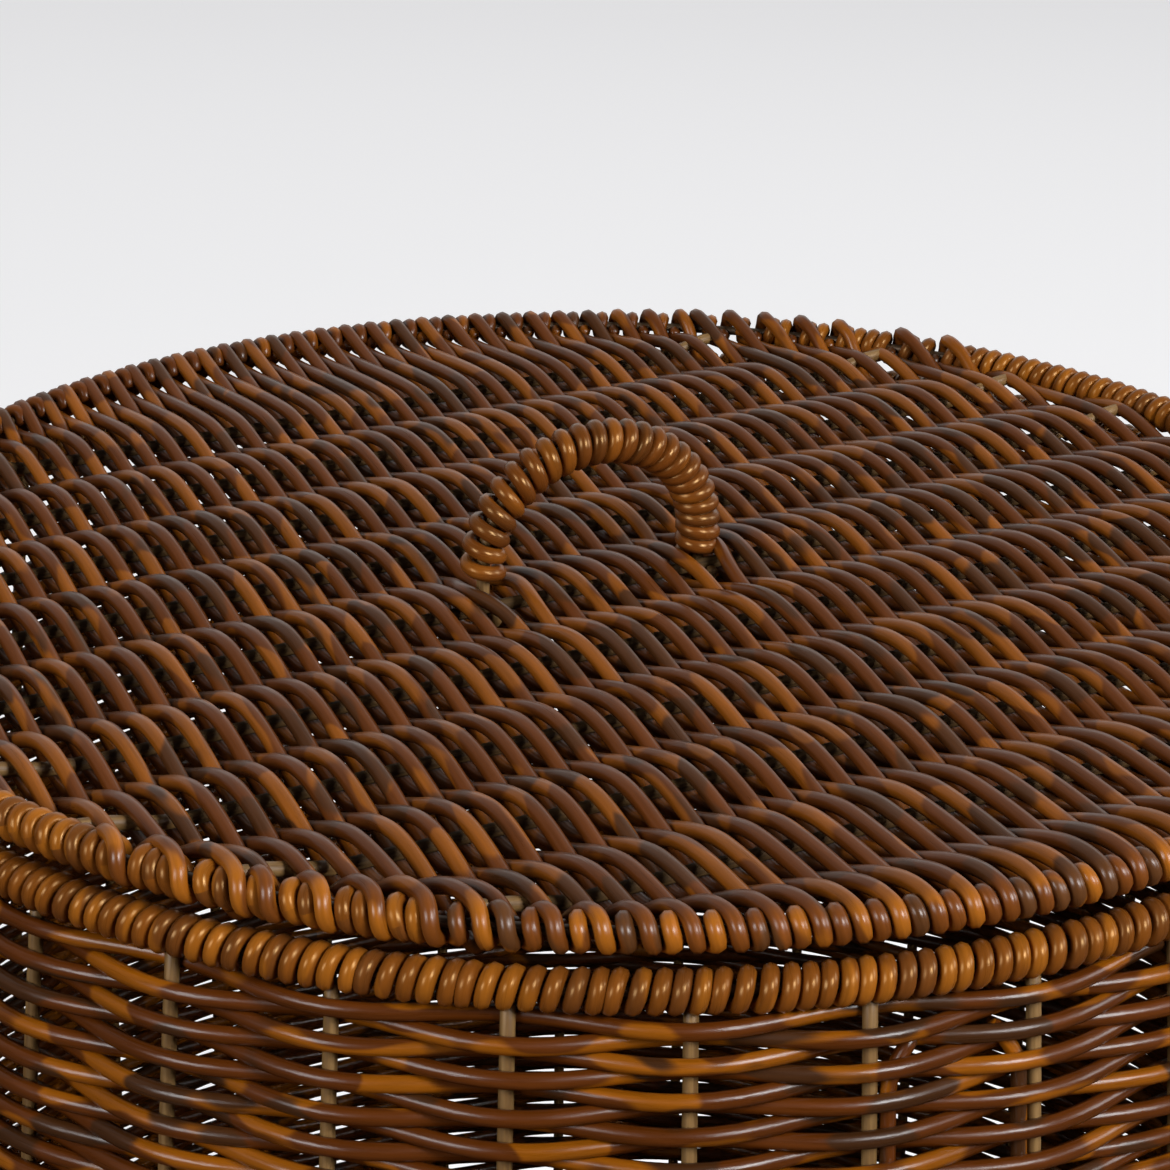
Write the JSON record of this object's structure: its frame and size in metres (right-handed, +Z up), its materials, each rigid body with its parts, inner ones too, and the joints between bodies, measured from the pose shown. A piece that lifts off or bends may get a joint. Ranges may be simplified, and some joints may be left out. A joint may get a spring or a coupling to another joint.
{
  "type": "laundry hamper with lid",
  "caption": "Round barrel-shaped woven laundry hamper with a flat woven lift-off lid, wound rim rings and a wound loop handle on the lid.",
  "frame": {"origin": "on the floor, under the middle of the foot ring", "axes": "+Z up through the middle of the basket, +X along the lid's ribs and across the handle's two legs"},
  "size_m": [0.43, 0.43, 0.56],
  "materials": {
    "strand": "satin extruded resin strand, mottled brown, amber and grey-brown along its length",
    "wound_strand": "the same strand, wound tight and shinier",
    "rod": "khaki resin rod, faintly grained",
    "wire": "painted steel wire"
  },
  "bodies": {
    "basket": {"rim_hoop": "wire", "rim_winding": "wound_strand", "stake_01": "rod", "stake_02": "rod", "stake_03": "rod", "stake_04": "rod", "stake_05": "rod", "stake_06": "rod", "stake_07": "rod", "stake_08": "rod", "stake_09": "rod", "stake_10": "rod", "stake_11": "rod", "stake_12": "rod", "stake_13": "rod", "stake_14": "rod", "stake_15": "rod", "stake_16": "rod", "stake_17": "rod", "stake_18": "rod", "stake_19": "rod", "stake_20": "rod", "stake_21": "rod", "stake_22": "rod", "stake_23": "rod", "stake_24": "rod", "stake_25": "rod", "stake_26": "rod", "stake_27": "rod", "stake_28": "rod", "stake_29": "rod", "stake_30": "rod", "stake_31": "rod", "stake_32": "rod", "stake_33": "rod", "stake_34": "rod", "wall_weave": "strand", "base_frame": "wire", "foot_winding": "wound_strand", "base_weave": "strand"},
    "lid": {"lid_hoop": "wire", "lid_winding": "wound_strand", "lid_rib_1": "rod", "lid_rib_2": "rod", "lid_rib_3": "rod", "lid_rib_4": "rod", "lid_rib_5": "rod", "lid_rib_6": "rod", "lid_rib_7": "rod", "lid_rib_8": "rod", "lid_rib_9": "rod", "lid_weave": "strand", "handle_core": "rod", "handle_winding": "wound_strand"}
  },
  "joints": [
    {"name": "lid_lift", "type": "slide", "parent": "basket", "child": "lid", "axis": [0, 0, 1], "range_m": [0, 0.15]}
  ]
}
